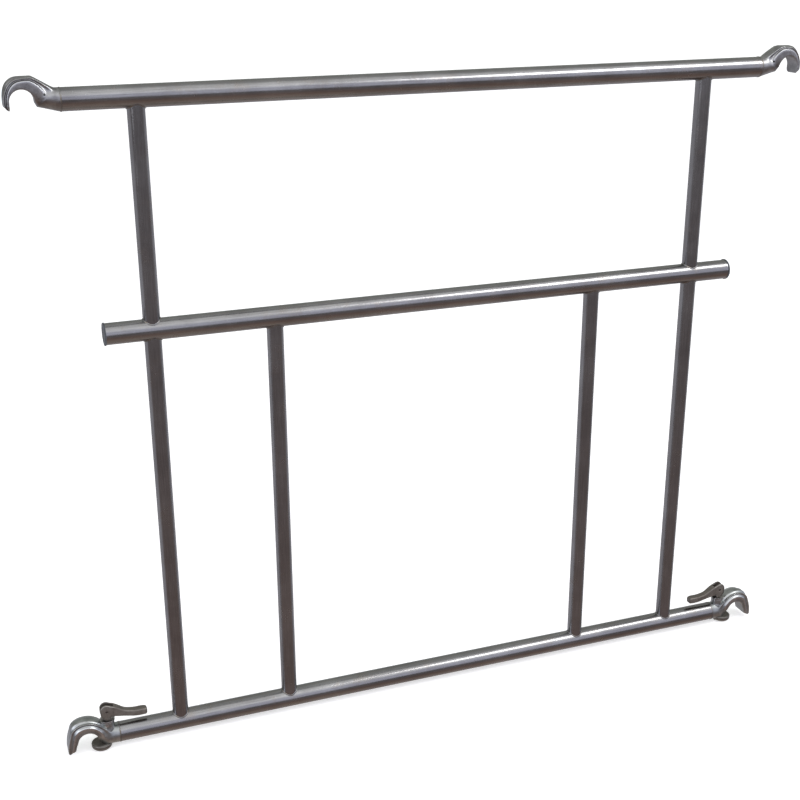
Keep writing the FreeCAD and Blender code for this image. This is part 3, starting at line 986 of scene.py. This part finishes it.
@dataclass
class Claw(SubAssembly):
    """A forged claw, lofted from the tip of its leg, over the throat and down to the rail.

    Station 0 is the tip, 1 the spring of the throat's half circle, 2 its crown, 3 its far side and 4 the
    rail's end. At each station an inner and an outer point, in millimetres outboard of and above the
    throat's centre, carry a section whose height runs from 0 at the inner point to 1 at the outer one.
    Each row of knots is (station, value, ...).

    Args:
        throat_r: radius of the throat.
        rows: sections in all.
        tip_round, tip_corner: roundings of the tip in thickness and in width.
        leg_inner, root_inner, outer: the outlines.
        half_width: half the section's width.
        ridge_b, ridge_a: heights of the lower and the upper ridge on each side.
        relief: how much of the ridges shows; at 0 the section is the rail's circle.
        fullness: how much the upper flutes are filled in.
    """
    throat_r: float = 24.3
    rows: int = 240
    tip_round: float = 2.0
    tip_corner: float = 9.0
    leg_inner: Knots = ()
    root_inner: Knots = ()
    outer: Knots = ()
    half_width: Knots = ()
    ridge_b: Knots = ()
    ridge_a: Knots = ()
    relief: Knots = ()
    fullness: Knots = ((0, 0), (4, 0))

    def ridges(self, width: Array, b: Array, a: Array, full: Array) -> list[Ridge]:
        """Points of half a section, from the inner face's middle to the crown's.

        Args:
            width, b, a, full: half width, ridge heights and fullness at each station.

        Returns:
            The points.
        """
        raise NotImplementedError

    def inner_line(self, s: Array) -> Array:
        """Inner outline: the leg's inner face, the half circle (R cos t, R sin t), then the root.

        Args:
            s: (stations,).

        Returns:
            (stations, 2) in millimetres.
        """
        turn = (s - 1) * math.pi / 2
        arc = self.throat_r * np.stack([np.cos(turn), np.sin(turn)], axis=1)
        line = np.where((s < self.leg_inner[-1][0])[:, None], through(self.leg_inner, s), arc)
        return np.where((s > 3)[:, None], along(self.root_inner, s), line)

    def sections(self, s: Array) -> tuple[Array, Array]:
        """Half sections, mixed by the relief with a round one.

        The round one is half width W cos t, height (1 + sin t) / 2, swollen by as much as a B-spline
        draws it in.

        Args:
            s: (stations,).

        Returns:
            (stations, points, 2) of half width and height, and (stations, points) of crest values.
        """
        width, b, a = (through(knots, s)[:, 0] for knots in (self.half_width, self.ridge_b, self.ridge_a))
        full = along(self.fullness, s)[:, 0]
        relief = np.clip(through(self.relief, s), 0, 1)
        ridges = self.ridges(width, b, a + (0.985 - a) * full, full)
        half = np.stack([np.stack([width - inset, share + 0 * width], axis=1)
                         for inset, share, _ in ridges], axis=1)
        t = np.linspace(-math.pi / 2, math.pi / 2, len(ridges))
        swell = 1.0 + (TURN / (2 * len(ridges) - 2)) ** 2 / 6
        plain = np.stack([width[:, None] * np.cos(t) * swell,
                          np.ones((len(s), 1)) * (1 + np.sin(t) * swell) / 2], axis=2)
        return plain + (half - plain) * relief[:, :, None], np.array([r[2] for r in ridges]) * relief

    def drawn_in(self, reach: Array, radius: float) -> Array:
        """How far a quarter circle of that radius is drawn in at each distance from the tip."""
        return radius * (1 - np.sqrt(1 - np.clip(1 - reach / radius, 0, 1) ** 2))

    def loft(self, centre: Array) -> Shell:
        """Carries the sections along the outlines: point = inner + height * (outer - inner), y = width.

        Args:
            centre: the throat's centre in metres.

        Returns:
            The shell.
        """
        s = np.linspace(0, 4, self.rows)
        inner, outer = self.inner_line(s), through(self.outer, s)
        half, worn = self.sections(s)
        loop = np.concatenate([half, half[:, -2:0:-1] * [-1, 1]], axis=1)
        weights = spline_weights(loop.shape[1], 5)
        loop = np.einsum("tk,skc->stc", weights, loop)
        worn = np.einsum("tk,sk->st", weights, np.concatenate([worn, worn[:, -2:0:-1]], axis=1))
        reach = np.linalg.norm(np.gradient(inner, axis=0), axis=1).cumsum()
        reach -= reach[0]
        wide = 1 - self.drawn_in(reach, self.tip_corner) / half[:, :, 0].max(axis=1)
        thick = 1 - 2 * self.drawn_in(reach, self.tip_round) / np.linalg.norm(outer - inner, axis=1)
        share = (0.5 + (loop[..., 1] - 0.5) * thick[:, None])[..., None]
        place = inner[:, None] + share * (outer - inner)[:, None]
        points = np.stack([place[..., 0], loop[..., 0] * wide[:, None], place[..., 1]], axis=2)
        return grid_shell(points * MM + centre, np.clip(worn, 0, 1))

    def put(self, node: str, side: Side, steel: bpy.types.Material, centre: Array,
            tools: list[tuple[Shell, str]]) -> None:
        """Makes one claw.

        Args:
            node: its CAD node without the side.
            side: which end.
            steel: its finish.
            centre: the throat's centre, as at the +X end.
            tools: shells to cut out or join on, as at the +X end.
        """
        piece = make_object(f"forged_{node}_{side.label}", self.loft(centre).on_side(side), 32)
        carve(piece, [(shell.on_side(side), operation) for shell, operation in tools])
        self.dress(piece, steel, "frame", "claw_casting", f"{node}_{side.label}")


@dataclass
class UpperClaw(Claw):
    """An open claw of the top rail: a rounded crown between two sharp ridges on each side.

    Args:
        hole_r: radius of the small cross hole through its root.
        through_all: half the length of a cutter that goes right through.
    """
    leg_inner: Knots = ((0, 24.3, -17.5), (0.5, 24.3, -9), (1.0, 24.3, 0))
    root_inner: Knots = ((3, -24.3, 0), (3.12, -24.3, -3), (3.42, -29.0, -12.5), (4, -74, -24.15))
    outer: Knots = (
        (0, 28.6, -17.5), (0.2, 32.3, -12.8), (0.42, 36.0, -8.6), (0.55, 36.7, -6), (1, 36.9, 1),
        (1.16, 36.7, 10), (1.3, 35.7, 18.5), (1.43, 33.6, 27), (1.53, 30.7, 33.6), (1.63, 26.3, 39.3),
        (1.72, 21.2, 43.7), (1.8, 15.4, 46.9), (1.9, 8, 48.7), (2, 0, 49), (2.2, -17, 49),
        (2.25, -21, 48.9), (2.3, -25, 47.5), (2.5, -39.2, 39.1), (2.67, -51, 32), (2.85, -59, 27.2),
        (3.1, -65, 24.5), (3.5, -69, 24.15), (4, -74, 24.15))
    half_width: Knots = ((0, 21.0), (0.6, 21.5), (1.5, 21.2), (2.2, 20.6), (2.8, 20.7), (3.2, 21.4),
                         (3.6, 22.9), (4, 24.15))
    ridge_b: Knots = ((0, 0.34), (1, 0.30), (1.5, 0.38), (2, 0.61), (2.17, 0.655), (2.5, 0.655),
                      (2.67, 0.60), (3, 0.55), (4, 0.5))
    ridge_a: Knots = ((0, 0.78), (1, 0.82), (1.5, 0.69), (2, 0.82), (2.3, 0.90), (3, 0.91), (4, 0.9))
    relief: Knots = ((0, 1.0), (2.5, 1.0), (2.9, 0.74), (3.2, 0.34), (3.6, 0), (4, 0))
    hole_r: float = 2.4
    through_all: float = 30

    def ridges(self, width: Array, b: Array, a: Array, full: Array) -> list[Ridge]:
        """The side face, ridge B, a groove, ridge A and the rounded crown.

        Args:
            width, b, a, full: half width, ridge heights and fullness at each station.

        Returns:
            The points.
        """
        gap = a - b
        return [(width, 0, 0), (4, 0, 0), (0.9, 0, 0.3), (0, 0.05, 0.5), (0.3, b * 0.55, 0),
                (0.4, b - 0.02, 0.9), (1.1, b + 0.02, 1), (5.4, b + gap * 0.28, -0.4),
                (6.6, b + gap * 0.55, -0.8), (3.9, a - gap * 0.08, 0.8), (4.6, a + 0.03, 1),
                (8.8, a + (1 - a) * 0.10, 0), (12, 1 - (1 - a) * 0.12, 0), (width, 1, 0)]

    def build(self) -> None:
        """Makes both upper claws."""
        steel = ForgedSteel("forged_steel").material()
        mounts = frame["record"]["mounts"]
        for side in Side:
            hole = place_of(mounts, "claw_pin_hole", side)
            pin = rod(self.hole_r, -self.through_all, self.through_all, hole, 28, 1)
            self.put("upper_claw", side, steel, place_of(mounts, "upper_claw_throat", side),
                     [(pin, "DIFFERENCE")])


@dataclass
class LowerClaw(Claw):
    """A clamping claw of the bottom rail: a narrow crown and two pairs of flutes, with the bolt's boss.

    Args:
        boss_r, spotface_r, bolt_r: radii of the boss, of the flat round it and of the bolt's hole.
        seat_above: height of the boss above the rail's axis.
        disc_reach, disc_offset, disc_top: radius of the disc's room, the disc's eccentricity, and the
            height of the room's ceiling.
        swing: the disc's swing in radians.
        clear: how far a cutter reaches beyond the claw.
    """
    leg_inner: Knots = ((0, 31.0, -18.5), (0.5, 28.9, -9), (0.8, 26.9, -3), (1.0, 25.2, 0.6),
                        (1.15, 23.63, 5.67))
    root_inner: Knots = ((3, -24.3, 0), (3.12, -24.3, -3), (3.4, -33.2, -18), (3.55, -37.5, -24.15),
                         (4, -74, -24.15))
    outer: Knots = (
        (0, 42.0, -24.9), (0.08, 45.8, -24.5), (0.2, 48.6, -21.5), (0.5, 48.6, -13), (1, 47.0, 1.5),
        (1.18, 45.0, 12), (1.31, 42.6, 22), (1.45, 39.9, 34), (1.56, 35.2, 42), (1.66, 28.5, 47.3),
        (1.78, 18.4, 50.8), (1.9, 8.7, 52), (2.05, -3.7, 51.3), (2.18, -14, 48.6), (2.35, -26, 42.6),
        (2.6, -38, 33.4), (2.8, -46, 27.7), (3.1, -54, 24.7), (3.5, -64, 24.15), (4, -74, 24.15))
    half_width: Knots = ((0, 22.3), (1, 22.8), (2, 22.8), (2.9, 22.6), (3.2, 21.6), (3.5, 22.0), (4, 24.15))
    ridge_b: Knots = ((0, 0.42), (1, 0.45), (1.5, 0.50), (2, 0.57), (2.3, 0.55), (2.7, 0.50), (3, 0.42),
                      (4, 0.4))
    ridge_a: Knots = ((0, 0.84), (1, 0.85), (1.5, 0.86), (2, 0.91), (2.4, 0.90), (3, 0.85), (4, 0.85))
    relief: Knots = ((0, 1.0), (2.7, 1.0), (3.0, 0.72), (3.25, 0.3), (3.6, 0), (4, 0))
    fullness: Knots = ((0, 1.0), (1.0, 1.0), (1.25, 0.75), (1.6, 0), (4, 0))
    tip_round: float = 1.2
    tip_corner: float = 4.0
    boss_r: float = 16.5
    spotface_r: float = 18.7
    bolt_r: float = 5.4
    seat_above: float = 37.5
    disc_reach: float = 25.0
    disc_offset: float = 17.5
    disc_top: float = -16.5
    swing: float = math.pi / 2
    clear: float = 60

    def ridges(self, width: Array, b: Array, a: Array, full: Array) -> list[Ridge]:
        """The side face, ridge B, a flute, ridge A, a flute and the narrow crown.

        Args:
            width, b, a, full: half width, ridge heights and fullness at each station.

        Returns:
            The points.
        """
        gap = a - b
        return [(width, 0, 0), (5, 0, 0), (1.2, 0, 0.3), (0.2, 0.05, 0.5), (0.8, b * 0.5, 0),
                (-0.2, b - 0.04, 1), (0.4, b + 0.03, 1), (4.6 - 2.4 * full, b + gap * 0.35, -0.5),
                (5.4 - 2.8 * full, b + gap * 0.60, -0.9), (2.6 - 2.5 * full, a - gap * 0.06, 1),
                (3.6 - 1.8 * full, a + 0.02 - 0.005 * full, 1), (8.0, a - 0.07 + 0.085 * full, -0.5),
                (11.0, a - 0.03 + (1.03 - a) * full, -0.3), (13.4, 0.985, 0.7), (16.5, 1.005, 0.3),
                (width, 1, 0.1)]

    def sweep(self, bolt: Array) -> Shell:
        """The room that the disc swings in.

        A prism whose plan is r(p) about the bolt: within the swing r = offset + reach, and beyond it by
        an angle d, r = offset cos d + sqrt(reach^2 - (offset sin d)^2), the disc's own rim.

        Args:
            bolt: the bolt's axis at the height of the rail's, in metres.

        Returns:
            The shell.
        """
        steps = 160
        plan = np.arange(steps) / steps * TURN
        beyond = np.abs((plan - self.swing / 2 + math.pi) % TURN - math.pi) - self.swing / 2
        beyond = np.clip(beyond, 0, None)
        rim = self.disc_offset * np.cos(beyond)
        rim = rim + np.sqrt(self.disc_reach ** 2 - (self.disc_offset * np.sin(beyond)) ** 2)
        heights = np.array([[self.disc_top - 30], [self.disc_top]])
        return around(np.tile(rim, (2, 1)) * MM, heights * MM, bolt, steps, 2)

    def build(self) -> None:
        """Makes both lower claws with boss, spot face, bolt hole and disc recess."""
        steel = ForgedSteel("forged_clamp_steel", light=(0.50, 0.52, 0.515, 1),
                            dark=(0.29, 0.305, 0.305, 1)).material()
        top, r = self.seat_above, self.boss_r
        for side in Side:
            centre = place_of(frame["record"]["mounts"], "lower_claw_throat", side)
            bolt = np.array([place_of(frame["joints"], "clamp_swing", side)[0], 0, centre[2]])
            boss = turned([(ON_AXIS, 6, 0), (r + 3.0, 6, 0), (r + 2.4, 17, 6), (r, 25, 6), (r, top - 0.1, 1),
                           (r - 1.0, top, 0.6), (ON_AXIS, top, 0)], bolt)
            self.put("lower_claw", side, steel, centre, [
                (boss, "UNION"), (rod(self.spotface_r, top, 90, bolt, 96), "DIFFERENCE"),
                (self.sweep(bolt), "DIFFERENCE"),
                (rod(self.bolt_r, -self.clear, self.clear, bolt, 40), "DIFFERENCE")])


@dataclass
class Clamp(SubAssembly):
    """Washer, disc, bolt, pins and cam lever of one side's clamp. Millimetres about the pivot.

    Args:
        half_width, slot_half: half the fork's width and half its slot's.
        pin_r, bore: radii of the pin's hole and of the washer's.
        slot_depth: how far the slot reaches towards the handle.
        cam_closed, cam_open: pivot to washer with the lever down and up.
        head_back, reach: ends of the head and of the handle.
        edge: depth of the rounding along the fork's outline.
        edge_loops: loops on that rounding.
        top, under: upper and lower edge of the lever, as (distance outboard, height).
        waist: half the handle's width, and `squareness` the power of its sections, along it.
    """
    half_width: float = 10.4
    slot_half: float = 5.3
    pin_r: float = 3.0
    bore: float = 5.4
    slot_depth: float = 17.0
    cam_closed: float = 23.9
    cam_open: float = 14.9
    head_back: float = 20.0
    reach: float = 95.8
    edge: float = 1.7
    edge_loops: int = 7
    top: Knots = ((-95.8, -11.2), (-93.0, -10.6), (-88, -9.8), (-82.0, -9.4), (-68.0, -9.6), (-54.0, -7.5),
                  (-44, -4.4), (-36.0, 0.0), (-28, 5.2), (-20.0, 9.8), (-8, 14.4), (-3, 16.6), (1.5, 17.4),
                  (6.0, 16.6), (10.0, 14.2), (12.8, 11.0), (14.2, 8.4))
    under: Knots = ((-95.8, -26.2), (-93.0, -26.8), (-70.0, -26.2), (-48.0, -22.4), (-30, -18.2),
                    (-20.0, -15.8), (0, -14.6))
    waist: Knots = ((-95.8, 8.6), (-90, 10.0), (-75, 10.4), (-50, 9.7), (-38, 9.6), (-26, 10.3),
                    (-20, 10.45), (0, 10.45))
    squareness: Knots = ((-95.8, 4.5), (-70, 5.5), (-40, 5.5), (-24, 9.0), (0, 11.0))

    def cam(self) -> Array:
        """The cam's edge: point = h n + h' t, where h falls evenly from cam_closed to cam_open.

        Returns:
            (points, 2) in millimetres about the pivot.
        """
        angle = np.linspace(0, math.pi / 2, 22)
        rate = (self.cam_closed - self.cam_open) / (math.pi / 2)
        h = self.cam_closed - rate * angle
        return np.stack([h * np.sin(angle) - rate * np.cos(angle),
                         -h * np.cos(angle) - rate * np.sin(angle)], axis=1)

    def handle(self) -> Shell:
        """The paddle handle: superellipse sections between the two edges, from the fork's root to the end.

        A section is y = w sgn(cos t) |cos t|^(2/n), height = middle + half sgn(sin t) |sin t|^(2/n); the
        last few draw in to a rounded end.

        Returns:
            The shell, about the pivot.
        """
        start = 0.4 - self.slot_depth
        out = start - np.linspace(0, 1, 90) ** 0.8 * (self.reach + start)
        top, low = through(self.top, out)[:, 0], through(self.under, out)[:, 0]
        close = np.sqrt(1 - np.clip(1 - (self.reach + out) / 3.0, 0, 1) ** 2 * 0.45)
        wide = through(self.waist, out) * close[:, None]
        power = 2 / through(self.squareness, out)
        t = np.arange(64) / 64 * TURN
        sway, rise = np.cos(t), np.sin(t)
        y = wide * np.sign(sway) * np.abs(sway) ** power
        tall = ((top - low) / 2 * close)[:, None]
        z = ((top + low) / 2)[:, None] + tall * np.sign(rise) * np.abs(rise) ** power
        points = np.stack([np.broadcast_to(out[:, None], y.shape), y, z], axis=2)
        return grid_shell(points * MM, (np.abs(sway * rise) * 2) ** 2 * np.ones_like(y) * 0.3)

    def cheek_outline(self) -> Array:
        """One fork cheek seen from the side: cam, nose, crest, shoulder, and back under the handle.

        Returns:
            (points, 2) in millimetres about the pivot.
        """
        back_end = 1.5 - self.head_back
        out, back = np.linspace(14.2, back_end, 44), np.linspace(back_end, -9.0, 8)
        nose = [[14.9, -2.0], [14.9, 3.0], [14.7, 6.2]]
        heel = [[-9.0, -18.5], [-9.0, -22.9], [-8.2, -23.8]]
        return np.concatenate([self.cam(), nose, np.stack([out, through(self.top, out)[:, 0]], axis=1),
                               np.stack([back, through(self.under, back)[:, 0]], axis=1), heel])

    def cheek(self, sign: int) -> Shell:
        """One cheek: a ring of loops round the pin hole, each at a distance along hole to outline.

        The first loops are a quarter circle `edge` deep, which stands as a thin lip along the outline;
        then come the slot's side, the hole and the outer face.

        Args:
            sign: 1 or -1 for the +Y or the -Y cheek.

        Returns:
            The shell, about the pivot.
        """
        outline = self.cheek_outline()
        reach = np.linalg.norm(outline, axis=1, keepdims=True)
        face, slot, pin = self.half_width, self.slot_half, self.pin_r
        # Each loop is (share of the outline's distance, distance added, height).
        loops = [(1, -self.edge * (1 - math.sin(a)), face - self.edge * (1 - math.cos(a)))
                 for a in np.linspace(math.pi / 2, 0, self.edge_loops)]
        loops += [(1, 0, slot + 0.5), (1, -0.5, slot), (0, pin, slot), (0, pin, face - 0.5),
                  (0, pin + 0.6, face), (0, pin + 2.2, face)]
        rows = [np.concatenate([outline / reach * (reach * k + more), np.full_like(reach, sign * y)],
                               axis=1) for k, more, y in loops]
        worn = np.zeros((len(rows), len(outline)))
        worn[:self.edge_loops] = np.sin(np.linspace(0, math.pi, self.edge_loops))[:, None]
        worn[9:12] = 0.3
        return grid_shell(np.stack(rows)[:, :, [0, 2, 1]] * MM, worn, closed_rows=True)

    def washer(self, thick: float, radius: float) -> Shell:
        """The dished washer, its rim rolled up round the cam's seat.

        Args:
            thick, radius: its whole height and its radius in millimetres.

        Returns:
            The shell, standing on the origin.
        """
        bore, dish = self.bore, thick - 0.9
        return turned([(bore, 0, 0.3), (radius - 1.2, 0, 0.8), (radius, 1.0, 0.8), (radius, thick - 0.3, 0.5),
                       (radius - 0.6, thick, 0.4), (radius - 1.6, thick - 0.1, 0.5),
                       (radius - 2.1, dish, 0.4), (bore + 0.3, dish, 0.3), (bore, dish - 0.3, 0.3)],
                      np.zeros(3), ring=True)

    def disc(self, thick: float, radius: float) -> Shell:
        """The eccentric disc: a flat top, a rolled rim and a shallow casting hollow underneath.

        Args:
            thick, radius: its height and its radius in millimetres.

        Returns:
            The shell, standing on the origin.
        """
        return turned([(ON_AXIS, 0.9, 0), (radius * 0.42, 0.7, 3), (radius * 0.52, 0, 3),
                       (radius - 4.6, 0, 3), (radius, 4.6, 5.0), (radius, thick - 2.2, 2.6),
                       (radius - 2.4, thick, 2.4), (ON_AXIS, thick, 0)], np.zeros(3), per_corner=10)

    def build(self) -> None:
        """Makes the moving pieces of both clamps, and dresses the bolts and pins."""
        iron = CastIron("cast_iron_lever").material()
        # The disc's iron is a darker copy of the lever's: painted shade for where the disc sits under the claw.
        # Its oxide, pale and bare colours are all darkened for that, not for a darker oxide.
        disc_iron = CastIron("cast_iron_disc", oxide=(0.115, 0.10, 0.088, 1), pale=(0.18, 0.165, 0.145, 1),
                             bare=(0.26, 0.25, 0.23, 1)).material()
        plate = MachinedSteel("pressed_washer_steel").material()
        # Near-black steel on the bolts and pins: painted shade for the dark spots at the lever's pivot and on the
        # disc.
        dark = MachinedSteel("pin_steel", light=(0.12, 0.11, 0.10, 1),
                             dark=(0.05, 0.045, 0.042, 1)).material()
        lever = joined([self.cheek(-1), self.cheek(1), self.handle()])
        for side in Side:
            tag = side.label
            pivot = place_of(frame["joints"], "lever_lift", side)
            washer, disc = Bar.of(f"thrust_washer_{tag}", 2), Bar.of(f"locking_disc_{tag}", 2)
            offset = side.value * disc.centre[0]
            for name, shell, place, sharp, finish, body, slot, node in (
                    ("cast_lever", lever, pivot, 38, iron, "lever", "lever_iron", "clamp_lever"),
                    ("dished_washer", self.washer((washer.high - washer.low)[2] / MM, washer.radius / MM),
                     (pivot[0], 0, washer.low[2]), 45, plate, "swivel", "washer_steel", "thrust_washer"),
                    ("eccentric_disc", self.disc((disc.high - disc.low)[2] / MM, disc.high[1] / MM),
                     (offset, 0, disc.low[2]), 45, disc_iron, "bolt", "disc_iron", "locking_disc")):
                piece = make_object(f"{name}_{tag}", shell.moved(np.array(place)).on_side(side), sharp)
                self.dress(piece, finish, f"{body}_{tag}", slot, f"{node}_{tag}")
            for node in (f"clamp_bolt_{tag}", f"disc_pin_{tag}", f"lever_pin_{tag}"):
                part = frame["nodes"][node]
                part.data.materials.clear()
                part.data.materials.append(dark)
                log.info("dressed %s", node)


# ---------------------------------------------------------------- studio

@dataclass(frozen=True)
class Studio:
    """Camera, floor, sky and lamps. Angles in degrees, lengths in metres.

    Args:
        eye: the camera's place.
        yaw, pitch, roll: turn towards +X, tilt down, and turn about the line of sight.
        lens, sensor: focal length and width of the picture in millimetres.
        floor_half, floor_drop: half the floor's width, and its depth under the discs.
    """
    eye: tuple[float, float, float] = (-1.0894, -2.6978, 1.8592)
    yaw: float = 20.121
    pitch: float = 20.381
    roll: float = 0.222
    lens: float = 57.566
    sensor: float = 36.0
    floor_half: float = 60.0
    floor_drop: float = 0.0015

    def camera(self) -> None:
        """Places the camera: its axes are right, up and back, rolled about the line of sight."""
        yaw, pitch, roll = (math.radians(a) for a in (self.yaw, self.pitch, self.roll))
        ahead = Vector((math.sin(yaw) * math.cos(pitch), math.cos(yaw) * math.cos(pitch), -math.sin(pitch)))
        right = Vector((math.cos(yaw), -math.sin(yaw), 0))
        down = ahead.cross(right)
        across = math.cos(roll) * right + math.sin(roll) * down
        below = -math.sin(roll) * right + math.cos(roll) * down
        axes = Matrix((across, -below, -ahead)).transposed()
        data = bpy.data.cameras.new("studio_camera")
        data.lens, data.sensor_width = self.lens, self.sensor
        camera = bpy.data.objects.new("studio_camera", data)
        camera.matrix_world = Matrix.Translation(self.eye) @ axes.to_4x4()
        bpy.context.scene.collection.objects.link(camera)
        bpy.context.scene.camera = camera

    def floor(self) -> None:
        """A pale sweep of floor, far wider than the view, a hair below the discs."""
        half, level = self.floor_half, -self.floor_drop
        mesh = bpy.data.meshes.new("studio_floor")
        mesh.from_pydata([(-half, -half, level), (half, -half, level), (half, half, level),
                          (-half, half, level)], [], [(0, 1, 2, 3)])
        floor = bpy.data.objects.new("studio_floor", mesh)
        floor.visible_glossy = False
        bpy.context.scene.collection.objects.link(floor)
        g = Graph("pale_floor")
        tone = g.mix(g.noise(3, 3), (0.90, 0.90, 0.90, 1), (0.94, 0.94, 0.94, 1))
        mesh.materials.append(g.finish(Base_Color=tone, Roughness=0.9, Emission_Color=tone,
                                       Emission_Strength=0.55))

    def sky(self) -> None:
        """A studio all round: brown below, a pale wall in front, an olive one behind, bright cloth above."""
        g = SkyGraph("studio_sky")
        height = g.direction(2)
        before = g.band(g.direction(1), 0.10, -0.22)
        front = [(-1.0, (0.38, 0.31, 0.27)), (-0.7, (0.27, 0.19, 0.16)), (-0.35, (0.21, 0.18, 0.18)),
                 (-0.05, (0.21, 0.20, 0.21)), (0.03, (0.78, 0.79, 0.93)), (0.45, (0.82, 0.83, 0.96)),
                 (0.66, (1.35, 1.36, 1.40)), (0.88, (1.05, 1.05, 1.05))]
        rear = [(-1.0, (0.42, 0.36, 0.32)), (-0.5, (0.50, 0.49, 0.53)), (-0.05, (0.46, 0.46, 0.50)),
                (0.10, (0.34, 0.35, 0.33)), (0.60, (0.36, 0.37, 0.34)), (0.95, (0.50, 0.51, 0.50))]
        tone = g.mix(before, g.layers(height, rear), g.layers(height, front))
        bpy.context.scene.world = g.finish(Color=tone, Strength=1.0)

    def lamp(self, name: str, place: tuple[float, float, float], aim: tuple[float, float, float],
             size: tuple[float, float], power: float, colour: tuple[float, float, float]) -> None:
        """Adds a rectangular soft lamp.

        Args:
            name: its name.
            place, aim: where it is and what it is turned towards.
            size: its two sides.
            power, colour: watts, and the light's colour.
        """
        data = bpy.data.lights.new(name, "AREA")
        data.shape, data.size, data.size_y = "RECTANGLE", *size
        data.energy, data.color = power, colour
        lamp = bpy.data.objects.new(name, data)
        lamp.location = place
        lamp.rotation_euler = (Vector(aim) - Vector(place)).to_track_quat("-Z", "Y").to_euler()
        bpy.context.scene.collection.objects.link(lamp)

    def build(self) -> None:
        """Sets up the whole studio."""
        self.camera()
        self.floor()
        self.sky()
        self.lamp("key", (2.6, -2.2, 4.2), (0.4, 0, 0.8), (2.6, 1.0), 46, (1, 0.99, 0.98))
        self.lamp("fill", (-4.2, -2.2, 2.4), (0, 0, 0.8), (1.4, 2.6), 24, (0.88, 0.92, 1))
        bpy.context.scene.view_settings.view_transform = "Standard"


def main() -> None:
    """Builds the studio and every sub-assembly in order."""
    logging.basicConfig(level=logging.INFO, format="%(name)s: %(message)s")
    for part in (Studio(), Tubes(), Welds(), EndPlugs(), UpperClaw(), LowerClaw(), Clamp()):
        part.build()
        log.info("finished %s", type(part).__name__)


if __name__ == "__main__":
    main()
